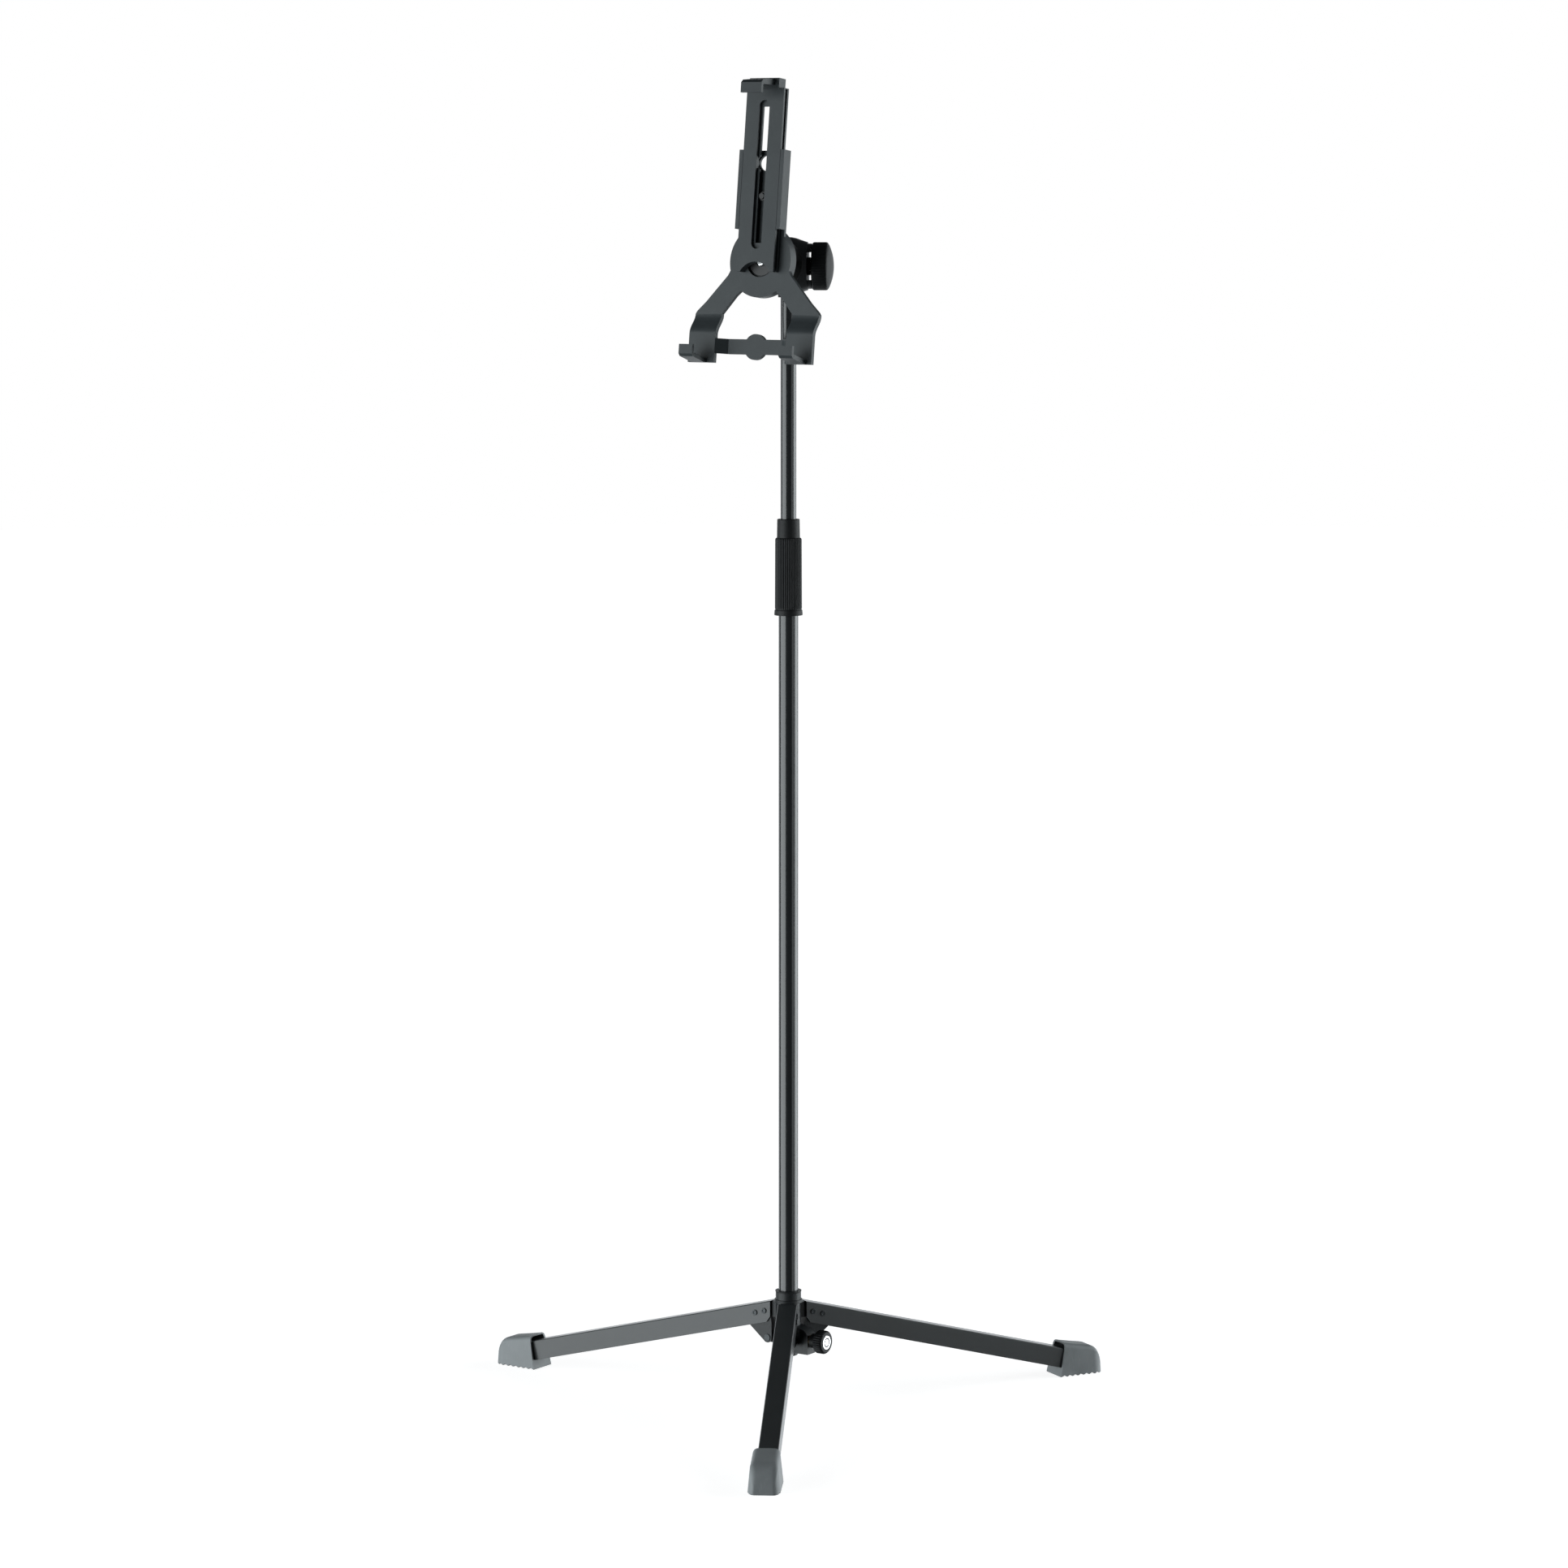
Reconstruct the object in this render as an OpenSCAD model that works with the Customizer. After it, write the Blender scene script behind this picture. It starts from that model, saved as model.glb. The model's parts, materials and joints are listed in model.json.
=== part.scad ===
// Tablet music stand: telescopic tube on a folding three-legged base, with a
// clamp that holds a tablet by its short edges. Millimetres, +Z up. The origin
// is on the floor, on the axis of the tube. The clamp faces -Y and leans back.

/* [Tube] */
// Outer diameter of the lower tube
tube_d = 20; // [18:1:20]
// Outer diameter of the upper rod
rod_d = 16; // [14:1:16]
// Wall thickness of both tubes
tube_wall = 1.2; // [1:0.1:1.4]
// Height of the rim under the clutch grip above the floor
clutch_z = 814; // [700:1:900]
// Height of the ball joint's centre above the floor
ball_z = 1164; // [1100:1:1250]
// Length of rod below the top of the clutch
rod_inside = 380; // [300:10:420]

/* [Base] */
// Distance from the tube's axis to the tip of a foot
reach = 366; // [330:1:400]
// Fall of a leg from the hub to its foot, in degrees
leg_slope = 14.8; // [14:0.1:15.2]
// Width of a leg's profile
leg_w = 20; // [18:1:20]
// Height of a leg's profile
leg_h = 20.5; // [19:0.5:21]
// Width of a foot at the floor
foot_w = 32; // [30:1:34]
// Diameter of the base clamp knob
base_knob_d = 24; // [22:1:26]

/* [Clamp] */
// Lean of the tablet clamp from upright, in degrees
lean = 6.4; // [0:0.1:12]
// Width of the upper slider
slider_w = 44; // [42:1:46]
// Length of the upper slider, without its hook block
slider_len = 181.5; // [178:1:190]
// Thickness of the upper slider
slider_t = 8.7; // [8:0.1:9]
// Diameter of the bracket's round hub
disc_d = 72.4; // [70:0.1:76]
// Width over the two lower arms
arms_w = 147.5; // [140:1:150]
// Room between the plate and the lips of the hooks
hook_gap = 22.5; // [20:0.5:24]
// Diameter of the large joint knob
joint_knob_d = 48; // [44:1:50]
// Direction of the large knob, turned back from +X, in degrees
knob_turn = 29; // [20:1:35]

/* [Hidden] */
$fn = 96;
fit = 0.08;                         // radial clearance of a running fit
gap = 0.3;                          // clearance between parts that only pass
tube_r = tube_d / 2;
tube_bore = tube_r - tube_wall;
rod_r = rod_d / 2;
rod_bore = rod_r - tube_wall;

// hub
hub_low = 58;
hub_top = 121;
core_r = 13;
collar_h = 11;
pivot_r = 20.5;
pivot_z = 70.5;
boss_r = 5.3;
pin_r = 2.5;
tongue_w = 8;
leg_end_r = 16;
leg_end_z = 109.5;
leg_wall = 1.6;
cast_w = leg_w - 2 * leg_wall - 0.2;
leg_azimuth = [180, 60, -60];
rivet_r = 1.6;
rivet_at = [[23.4, 98.4], [34.6, 95.2]];

// base clamp, along +X
block_x = 28.2;
block_w = 14;
block_top = 83;
clamp_z = 72;
stud_r = 4;
insert_r = 6;
insert_x = 16;
base_knob_x = 36.5;
base_knob_t = 10.5;

// foot
foot_in = reach - 53;
foot_h = 36.5;
foot_lean = 7;                      // the mouth leans out by this much over its height
groove_step = 6.7;
mouth_room = 2.2;                   // room round the leg just inside the mouth
mouth_depth = 16;
leg_stop = reach - 20;

// clutch
grip_len = 78;
grip_r = 13.9;
collar_len = 19;
clutch_top = clutch_z + grip_len + collar_len;
tube_top = clutch_z + 48;

// rod
rod_low = clutch_top - rod_inside;
rod_high = ball_z - 17.5;
bush_h = 14;

// ball joint; k runs along the joint knob's axis
ball_r = 14;
liner_r = 16;
housing_r = 29;
opening_angle = 60;
k_face = 19.5;
k_boss = 22.2;
k_rim = 23.5;
k_knob = 24;
knob_rim = 15.5;
knob_dome = 6;
neck_low = ball_z - 31;

// tablet clamp; a is sideways, d is out along the plate's normal, u is up it
d_front = 60;
d_disc = 51;
d_back = 41;
plate_t = 4.5;
guide_low = 31;
guide_high = 109.5;
rail_w = 4.4;
slide_low = -11.2;
slide_high = slide_low + slider_len;
block_h = 9.6;                      // height of the hook's block above the slider
tongue_d = [54.4, 57];
slot_w = 7;                         // the slot in the slider's web
slot_front_w = 12.1;                // its wider, round-ended front
slot_back_w = 16;
web_d = [54.3, 56.5];               // back and front of the web
hole_u = 97;                        // round hole through the web and the guide behind it
hole_r = 7.6;
slot_u = [11.4, 158.5];
stop_u = 64;
arm_half = arms_w / 2;
arm_in = 42.3;
arm_low = -102.2;
bend_u = [-53, -73];
bar_u = -85.3;
bar_h = 15;
hook_a = 59.5;
hook_w = 16;
lip_t = 3.5;
lean_in = 4;                        // fall of each hook's floor towards its lip

// Side view of an arm's S-bend, moved by back and down
function arm_bend(back, down) = [for (i = [0 : 8])
    [d_disc + (d_front - d_disc) * (1 - cos(22.5 * i)) / 2 + back,
        bend_u[0] + (bend_u[1] - bend_u[0]) * i / 8 + down]];

// Height of a leg's top face at that distance from the tube's axis
function leg_top(r) = leg_end_z - (r - leg_end_r) * tan(leg_slope);

// ---- helpers ----

// Ring from z0 to z1
module ring(r_out, r_in, z0, z1) {
    difference() {
        translate([0, 0, z0]) cylinder(h = z1 - z0, r = r_out);
        translate([0, 0, z0 - 1]) cylinder(h = z1 - z0 + 2, r = r_in);
    }
}

// Solid cylinder along +X
module rod_x(r, x0, x1) {
    translate([x0, 0, 0]) rotate([0, 90, 0]) cylinder(h = x1 - x0, r = r);
}

// Solid cylinder across a leg, at a point of its side view
module cross_rod(r, at, w) {
    translate([at[0], 0, at[1]]) rotate([90, 0, 0]) cylinder(h = w, r = r, center = true);
}

// A leg's side view, x outwards and y up, as thick as w
module across(w) {
    rotate([90, 0, 0]) linear_extrude(w, center = true) children();
}

// Frame of one leg
module leg_frame(i) {
    rotate([0, 0, leg_azimuth[i]]) children();
}

// Frame of the joint knob, x along its axis, from the ball's centre
module knob_frame() {
    translate([0, 0, ball_z]) rotate([0, 0, knob_turn]) children();
}

// Frame of the base clamp's knob
module clamp_frame() {
    translate([0, 0, clamp_z]) children();
}

// Frame of the tablet clamp, from the ball's centre
module plate_frame() {
    translate([0, 0, ball_z]) rotate([-lean, 0, 0]) children();
}

// An outline in a and u, from d0 out to d1
module slab(d0, d1) {
    rotate([90, 0, 0]) translate([0, 0, d0]) linear_extrude(d1 - d0) children();
}

// A side view in d and u, centred on a
module side_cut(a, w) {
    translate([a, 0, 0]) rotate([90, 0, -90]) linear_extrude(w, center = true) children();
}

// Rectangle from two corners
module patch(low, high) {
    translate(low) square([high[0] - low[0], high[1] - low[1]]);
}

// ---- column ----

module lower_tube() {
    color([0.09, 0.1, 0.1]) ring(tube_r, tube_bore, hub_low, tube_top);
}

module tube_end_plug() {
    color([0.05, 0.05, 0.05]) union() {
        translate([0, 0, hub_low]) cylinder(h = 12, r = tube_bore - 0.05);
        translate([0, 0, hub_low - 3.6]) cylinder(h = 3.6, r = tube_r - 0.1);
        translate([0, 0, hub_low - 4.4]) cylinder(h = 0.8, r1 = tube_r - 1.2, r2 = tube_r - 0.1);
    }
}

// Split nylon cone that the clutch sleeve squeezes onto the rod
module clutch_collet() {
    finger_z = tube_top + 20;
    color([0.75, 0.74, 0.7]) difference() {
        union() {
            ring(tube_bore - 0.05, rod_r + fit, tube_top - 26, tube_top + 1);
            ring(tube_r - 0.1, rod_r + fit, tube_top, tube_top + 3);
            ring(9.6, rod_r + fit, tube_top + 2, finger_z);
            difference() {
                translate([0, 0, finger_z]) cylinder(h = 20, r1 = 9.6, r2 = 8.7);
                translate([0, 0, finger_z - 1]) cylinder(h = 22, r = rod_r + fit);
            }
        }
        for (turn = [0, 90])
            rotate([0, 0, turn]) translate([-12, -0.6, finger_z - 2]) cube([24, 1.2, 30]);
    }
}

module clutch_sleeve() {
    lip_h = 5.5;
    grip_top = clutch_z + grip_len;
    color([0.07, 0.08, 0.08]) difference() {
        union() {
            translate([0, 0, clutch_z]) cylinder(h = lip_h, r1 = grip_r + 0.5, r2 = grip_r + 0.1);
            translate([0, 0, clutch_z + lip_h])
                cylinder(h = grip_len - lip_h, r1 = grip_r - 0.4, r2 = grip_r - 0.7);
            translate([0, 0, clutch_z + lip_h])
                linear_extrude(grip_len - lip_h - 0.6) ribs(grip_r - 0.25, 36);
            translate([0, 0, grip_top]) cylinder(h = collar_len, r1 = 11.7, r2 = 11.3);
        }
        translate([0, 0, clutch_z - 1]) cylinder(h = tube_top + 5 - clutch_z, r = tube_r + gap);
        translate([0, 0, tube_top + 3]) cylinder(h = 18, r = 9.6 + gap);
        translate([0, 0, tube_top + 20.9]) cylinder(h = 21, r1 = 9.6 + gap, r2 = 8.7 + gap);
        translate([0, 0, clutch_z]) cylinder(h = 200, r = rod_r + gap);
    }
}

// Fine grip ribs in plan
module ribs(r, count) {
    for (i = [0 : count - 1])
        rotate(i * 360 / count) translate([r - 2, -0.6]) square([2, 1.2]);
}

// ---- base ----

module base_hub() {
    color([0.08, 0.09, 0.09]) difference() {
        union() {
            translate([0, 0, hub_low]) cylinder(h = hub_top - hub_low, r = core_r);
            translate([0, 0, hub_top - 2]) cylinder(h = 2, r1 = core_r, r2 = core_r + 0.5);
            translate([0, 0, hub_top - collar_h - 0.4]) cylinder(h = 2.4, r1 = 15.2, r2 = 14.2);
            for (i = [0 : 2]) leg_frame(i) {
                translate([8, -tongue_w / 2, pivot_z - boss_r]) cube([pivot_r - 8, tongue_w, 2 * boss_r]);
                cross_rod(boss_r, [pivot_r, pivot_z], tongue_w);
                translate([8, -7, 93]) cube([leg_end_r - 8.2, 14, 16]);
            }
            across(block_w) polygon([[0, hub_low], [block_x, hub_low], [block_x, block_top - 5],
                [block_x - 5, block_top], [0, block_top + 6]]);
        }
        translate([0, 0, hub_low - 1]) cylinder(h = hub_top - hub_low + 2, r = tube_r + fit);
        for (i = [0 : 2]) leg_frame(i) cross_rod(pin_r, [pivot_r, pivot_z], 20);
        clamp_frame() rod_x(insert_r, insert_x, block_x + 1);
        clamp_frame() rod_x(stud_r + gap, 5, insert_x + 1);
    }
}

// Brass thread insert in the clamp block
module clamp_insert() {
    color([0.75, 0.6, 0.3]) clamp_frame() difference() {
        rod_x(insert_r, insert_x, block_x + 0.3);
        rod_x(stud_r + fit, insert_x - 1, block_x + 2);
    }
}

// Nylon pad between the clamp's stud and the tube
module clamp_pad() {
    color([0.8, 0.78, 0.72]) clamp_frame() rod_x(stud_r, tube_r + 0.25, tube_r + 3);
}

module base_knob() {
    r = base_knob_d / 2;
    end_x = base_knob_x + base_knob_t;
    color([0.06, 0.06, 0.06]) clamp_frame() difference() {
        union() {
            rod_x(7.5, base_knob_x - 7, base_knob_x + 1);
            rod_x(r, base_knob_x + 1, end_x - 1.2);
            translate([base_knob_x, 0, 0]) rotate([0, 90, 0]) cylinder(h = 1, r1 = r - 1, r2 = r);
            translate([end_x - 1.2, 0, 0]) rotate([0, 90, 0]) cylinder(h = 1.2, r1 = r, r2 = r - 1.2);
        }
        rod_x(7.2, end_x - 1, end_x + 1);
        rod_x(stud_r, base_knob_x - 8, base_knob_x + 6);
    }
}

module base_knob_stud() {
    color([0.7, 0.71, 0.72]) clamp_frame() rod_x(stud_r, tube_r + 3.1, base_knob_x + 5.9);
}

// Plain bright disc set in the end of the base knob
module base_knob_cap() {
    end_x = base_knob_x + base_knob_t;
    color([0.85, 0.86, 0.87]) clamp_frame() rod_x(7.1, end_x - 0.95, end_x + 0.2);
}

module leg_pin(i) {
    half = cast_w / 2;
    color([0.1, 0.1, 0.1]) leg_frame(i) {
        cross_rod(pin_r - 0.02, [pivot_r, pivot_z], 2 * half + 0.4);
        for (end = [-1, 1])
            translate([0, end * (half + 0.5), 0]) cross_rod(3.6, [pivot_r, pivot_z], 0.7);
    }
}

// Profile of a leg: an upturned U with rounded top corners
module leg_profile() {
    r = 1.5;
    difference() {
        union() {
            translate([-leg_w / 2, -leg_h]) square([leg_w, leg_h - r]);
            translate([-leg_w / 2 + r, -leg_h]) square([leg_w - 2 * r, leg_h]);
            for (end = [-1, 1]) translate([end * (leg_w / 2 - r), -r]) circle(r);
        }
        translate([-leg_w / 2 + leg_wall, -leg_h - 1]) square([leg_w - 2 * leg_wall, leg_h + 1 - leg_wall]);
    }
}

module leg(i) {
    chamfer = 5;
    low = leg_top(leg_end_r) - leg_h / cos(leg_slope);
    color([0.1, 0.11, 0.11]) leg_frame(i) difference() {
        intersection() {
            translate([0, 0, leg_top(0)]) rotate([0, 90 + leg_slope, 0]) rotate([0, 0, 90])
                linear_extrude(reach + 30) leg_profile();
            translate([leg_end_r, -leg_w, -50]) cube([leg_stop - leg_end_r, 2 * leg_w, 300]);
        }
        for (at = rivet_at) cross_rod(rivet_r + 0.05, at, 2 * leg_w);
        across(2 * leg_w) polygon([[leg_end_r - 1, low - 5], [leg_end_r - 1, low + chamfer],
            [leg_end_r, low + chamfer], [leg_end_r + chamfer, low - 2], [leg_end_r + chamfer, low - 5]]);
    }
}

// Cast knuckle inside the leg: it carries the pivot low down, close to the hub
module knuckle(i) {
    far = 60;
    drop = leg_wall / cos(leg_slope) + 0.2;
    low = leg_h / cos(leg_slope);
    slot_top = pivot_z + boss_r + 0.5;
    color([0.09, 0.1, 0.1]) leg_frame(i) difference() {
        union() {
            across(cast_w) polygon([[leg_end_r + 0.1, leg_top(leg_end_r) - drop], [far, leg_top(far) - drop],
                [far, leg_top(far) - low + 4], [far - 12, leg_top(far - 12) - low],
                [42, leg_top(42) - low], [pivot_r + 2.9, pivot_z - boss_r + 0.85],
                [pivot_r, pivot_z - boss_r], [pivot_r, pivot_z], [pivot_r - boss_r, pivot_z],
                [pivot_r - boss_r, 86], [leg_end_r + 0.1, 92]]);
            cross_rod(boss_r, [pivot_r, pivot_z], cast_w);
        }
        translate([10, -tongue_w / 2 - 0.2, 60]) cube([pivot_r + 6.2 - 10, tongue_w + 0.4, slot_top - 60]);
        cross_rod(pin_r + fit, [pivot_r, pivot_z], 2 * leg_w);
        for (at = rivet_at) cross_rod(rivet_r + 0.05, at, 2 * leg_w);
    }
}

// Two rivets with dished heads on both sides of the leg
module leg_rivets(i) {
    head = 1.1;
    color([0.3, 0.31, 0.32]) leg_frame(i) for (at = rivet_at) difference() {
        union() {
            cross_rod(rivet_r, at, leg_w + 0.2);
            for (end = [-1, 1]) translate([0, end * (leg_w / 2 + head / 2), 0]) cross_rod(2.8, at, head);
        }
        for (end = [-1, 1]) translate([0, end * (leg_w / 2 + head), 0]) cross_rod(1.4, at, 0.9);
    }
}

// Foot cap with a serrated sole and a pocket for the leg, wider at its mouth
module foot(i) {
    half = foot_w / 2;
    corner = 5;
    color([0.32, 0.34, 0.35]) leg_frame(i) difference() {
        intersection() {
            across(foot_w + 2) polygon([[foot_in, 0], [foot_in + foot_lean, foot_h],
                [foot_in + 34, foot_h - 5.3], [foot_in + 42, foot_h - 9.5], [foot_in + 47, foot_h - 16],
                [reach - 1.5, 8], [reach, 3], [reach - 1, 0]]);
            rotate([90, 0, 90]) linear_extrude(2 * reach)
                polygon([[-half, 0], [half, 0], [half - 2.6, foot_h - 4], [half - 6, foot_h],
                    [6 - half, foot_h], [2.6 - half, foot_h - 4]]);
            linear_extrude(2 * foot_h) polygon([[foot_in - 1, -half], [reach - 2 * corner, -half],
                [reach - 0.8 * corner, 3 - half], [reach, corner + 2 - half], [reach, half - corner - 2],
                [reach - 0.8 * corner, half - 3], [reach - 2 * corner, half], [foot_in - 1, half]]);
        }
        foot_pocket(0.2, leg_stop + 0.3);
        foot_pocket(mouth_room, foot_in + mouth_depth);
        for (n = [0 : 5]) cross_rod(1.6, [foot_in + 7 + groove_step * n, -0.2], foot_w + 4);
    }
}

// Room for a leg with that much play at its top and sides, as far out as end_x
module foot_pocket(play, end_x) {
    intersection() {
        translate([0, 0, leg_top(0) + play]) rotate([0, leg_slope, 0])
            translate([0, -leg_w / 2 - play, -leg_h - play - 0.2])
                cube([reach + 50, leg_w + 2 * play, leg_h + play + 0.2]);
        translate([foot_in - 5, -leg_w, -50]) cube([end_x - foot_in + 5, 2 * leg_w, 200]);
    }
}

// ---- rod and ball joint ----

// Nylon glide at the rod's lower end, on which the rod turns
module rod_bush() {
    color([0.8, 0.79, 0.74]) union() {
        ring(tube_bore - fit, 3, rod_low - bush_h, rod_low - 0.1);
        ring(rod_bore - fit, 3, rod_low - 1, rod_low + 16);
    }
}

module upper_rod() {
    color([0.09, 0.1, 0.1]) ring(rod_r, rod_bore, rod_low, rod_high);
}

module socket_housing() {
    color([0.08, 0.09, 0.09]) difference() {
        union() {
            difference() {
                translate([0, 0, ball_z]) sphere(housing_r);
                knob_frame() translate([k_face, -30, -30]) cube(60);
            }
            knob_frame() translate([6, 0, 0]) rotate([0, 90, 0])
                cylinder(h = k_face - 6, r1 = 28.3, r2 = 24);
            knob_frame() rod_x(9, k_face - 1, k_boss);
            knob_frame() prongs();
            translate([0, 0, neck_low]) cylinder(h = 20, r1 = 10.4, r2 = 12.5);
        }
        translate([0, 0, ball_z]) sphere(liner_r + fit);
        plate_frame() rotate([90, 0, 0]) cylinder(h = 40, r1 = 0, r2 = 40 * tan(opening_angle));
        translate([0, 0, neck_low - 1]) cylinder(h = rod_high - neck_low + 1.1, r = rod_r + 0.05);
        knob_frame() rod_x(6.5, 18.7, k_boss + 1);
        knob_frame() rod_x(5.1, 8, 19);
    }
}

// Two prongs at the housing's end, above and below the knob's stud
module prongs() {
    difference() {
        rod_x(22.6, k_face - 1, k_rim);
        rod_x(17.5, k_face - 2, k_rim + 1);
        translate([k_face, -30, -14]) cube([10, 60, 28]);
    }
}

// Brass thread insert in the housing
module joint_insert() {
    color([0.75, 0.6, 0.3]) knob_frame() difference() {
        rod_x(6.45, 18.8, k_boss);
        rod_x(stud_r + fit, 17, k_boss + 1);
    }
}

// Brake pad that the joint knob presses against the ball's cup
module joint_pad() {
    color([0.8, 0.78, 0.72]) difference() {
        knob_frame() rod_x(5, 14, 18.6);
        translate([0, 0, ball_z]) sphere(liner_r + 0.15);
    }
}

module joint_knob() {
    r = joint_knob_d / 2;
    dome_r = (r * r + knob_dome * knob_dome) / (2 * knob_dome);
    rim_k = k_knob + knob_rim;
    color([0.06, 0.06, 0.06]) knob_frame() difference() {
        rotate([0, 90, 0]) rotate_extrude() union() {
            patch([0, k_boss + 0.4], [9.5, k_knob + 1]);
            polygon([[0, k_knob], [r - 1, k_knob], [r, k_knob + 1], [r, rim_k], [0, rim_k]]);
            intersection() {
                translate([0, rim_k + knob_dome - dome_r]) circle(dome_r);
                patch([0, rim_k - 1], [r, rim_k + knob_dome + 1]);
            }
        }
        rod_x(stud_r, k_boss, k_knob + 10);
    }
}

module joint_knob_stud() {
    color([0.7, 0.71, 0.72]) knob_frame() rod_x(stud_r, 18.75, k_knob + 9.9);
}

// Nylon cup around the ball; it turns sideways in the housing and the ball tilts in it
module ball_liner() {
    half = 13;
    color([0.75, 0.74, 0.7]) difference() {
        translate([0, 0, ball_z]) rotate_extrude() intersection() {
            difference() {
                circle(liner_r);
                circle(ball_r + fit);
            }
            patch([0, -half], [liner_r + 1, half]);
        }
        plate_frame() side_cut(0, 11.8) polygon([[4, -3.7], [30, -28], [30, 60], [4, 8]]);
    }
}

// Ball, neck and turntable in one piece
module ball_stem() {
    color([0.1, 0.1, 0.11]) plate_frame() difference() {
        union() {
            sphere(ball_r);
            rotate([90, 0, 0]) cylinder(h = 20, r = 5);
            rotate([90, 0, 0]) translate([0, 0, 19]) cylinder(h = 14, r1 = 5, r2 = 12);
            rotate([90, 0, 0]) translate([0, 0, 32]) cylinder(h = 3, r1 = 12, r2 = 20);
            rotate([90, 0, 0]) translate([0, 0, 35]) cylinder(h = d_back - 0.2 - 35, r = 20);
            rotate([90, 0, 0]) translate([0, 0, 38]) cylinder(h = 9.1, r = 10);
        }
        rotate([90, 0, 0]) translate([0, 0, 28]) cylinder(h = 30, r = 2.55);
    }
}

module swivel_washer() {
    color([0.12, 0.12, 0.12]) plate_frame() rotate([90, 0, 0]) ring(14.5, 2.6, 47.15, 48.6);
}

// Bright screw that holds the bracket on its turntable
module swivel_screw() {
    head_r = 5.6;
    color([0.85, 0.85, 0.86]) plate_frame() rotate([90, 0, 0]) union() {
        translate([0, 0, 29]) cylinder(h = 20, r = 2.5);
        translate([0, 0, 48.6]) cylinder(h = 1.2, r = head_r);
        translate([0, 0, 49.8]) cylinder(h = 1.2, r1 = head_r, r2 = head_r - 1.6);
    }
}

// ---- tablet clamp ----

// One arm in outline, on the +a side
module arm_outline() {
    polygon([[20, -29], [34, -8], [37.5, -14.5], [62, -41], [arm_half - 2, -50], [arm_half, bend_u[0]],
        [arm_in, bend_u[0]], [27, -35]]);
}

module lower_hook_outline() {
    out = d_front + hook_gap + lip_t;
    polygon([[d_front - plate_t, arm_low], [d_front + 4, arm_low], [out - 2.5, arm_low + lean_in],
        [out, arm_low + lean_in + 2.5], [out, arm_low + 16], [out - lip_t, arm_low + 16],
        [out - lip_t, arm_low + lean_in + 4], [d_front, arm_low + 4], [d_front - plate_t, arm_low + 8]]);
}

module arm_and_hook() {
    arm_w = arm_half - arm_in;
    mid = (arm_half + arm_in) / 2;
    slab(d_disc - plate_t, d_disc) arm_outline();
    side_cut(mid, arm_w) polygon(concat([[d_disc - plate_t, bend_u[0] + 0.1], [d_disc, bend_u[0] + 0.1]],
        arm_bend(0, 0), [[d_front, arm_low], [d_front - plate_t, arm_low]],
        [for (i = [8 : -1 : 0]) arm_bend(-plate_t, -1)[i]]));
    side_cut(hook_a, hook_w) lower_hook_outline();
}

module crossbar() {
    bend_a = 32;
    slab(d_disc - plate_t, d_disc) union() {
        patch([-bend_a, bar_u - bar_h / 2], [bend_a, bar_u + bar_h / 2]);
        translate([0, bar_u]) circle(12.9);
    }
    for (end = [0, 1]) mirror([end, 0, 0]) translate([0, 0, bar_u - bar_h / 2]) linear_extrude(bar_h)
        polygon([[bend_a - 0.1, -d_disc], [arm_in + 0.1, -d_front], [arm_in + 6, -d_front],
            [arm_in + 6, -d_front + plate_t], [arm_in + 0.1, -d_front + plate_t],
            [bend_a - 0.1, -d_disc + plate_t]]);
}

module guide_channel() {
    half = slider_w / 2 + gap;
    outer = half + rail_w;
    slab(d_disc - 3, d_disc) patch([-outer, 20], [outer, guide_high]);
    for (end = [0, 1]) mirror([end, 0, 0]) {
        slab(d_disc - 3, d_front) patch([half, guide_low], [outer, guide_high]);
        slab(tongue_d[0], tongue_d[1]) patch([half - 2, guide_low], [half + 0.5, guide_high]);
    }
}

module lower_bracket() {
    color([0.12, 0.13, 0.14]) plate_frame() difference() {
        union() {
            slab(d_disc - plate_t, d_disc) circle(d = disc_d);
            slab(d_back, d_disc) circle(21);
            slab(d_back, d_disc) difference() {
                circle(d = disc_d);
                circle(d = disc_d - 6);
            }
            guide_channel();
            for (end = [0, 1]) mirror([end, 0, 0]) arm_and_hook();
            crossbar();
        }
        slab(d_back - 1, d_disc + 1) circle(10 + fit);
        slab(47, d_disc + 1) circle(16);
        slab(d_disc - 5, d_disc + 1) translate([0, hole_u]) circle(hole_r);
        slab(d_disc - 1, d_disc + 0.1) translate([0, stop_u]) circle(3.05);
    }
}

// Nylon stop that runs in the slider's slot
module slide_stop() {
    color([0.1, 0.1, 0.1]) plate_frame() union() {
        slab(d_disc, web_d[0] - gap) translate([0, stop_u]) circle(4.6);
        slab(d_disc - 1, web_d[1] - 0.2) translate([0, stop_u]) circle(3);
    }
}

// The slider's slot: round-ended in front, square-ended in the web, wider behind it
module slider_slot() {
    round_low = slot_u[0] + slot_front_w / 2;
    round_high = slot_u[1] - slot_front_w / 2;
    slab(web_d[1], d_front + 1) union() {
        patch([-slot_front_w / 2, round_low], [slot_front_w / 2, round_high]);
        for (u = [round_low, round_high]) translate([0, u]) circle(slot_front_w / 2);
    }
    slab(web_d[0] - 1, web_d[1] + 1) patch([-slot_w / 2, round_low], [slot_w / 2, round_high]);
    slab(web_d[0] - 1, web_d[1]) translate([0, hole_u]) circle(hole_r);
    slab(d_front - slider_t - 1, web_d[0])
        patch([-slot_back_w / 2, slot_u[0] - 2], [slot_back_w / 2, slot_u[1] + 2]);
}

module upper_hook_outline() {
    top = slide_high + block_h;
    out = d_front + hook_gap + lip_t;
    polygon([[d_front - slider_t, top], [d_front, top], [out - 3, top - lean_in], [out, top - lean_in - 3],
        [out, top - 17], [out - lip_t, top - 17], [out - lip_t, top - lean_in - 4.5],
        [d_front, top - 7], [d_front - slider_t, top - block_h]]);
}

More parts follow.
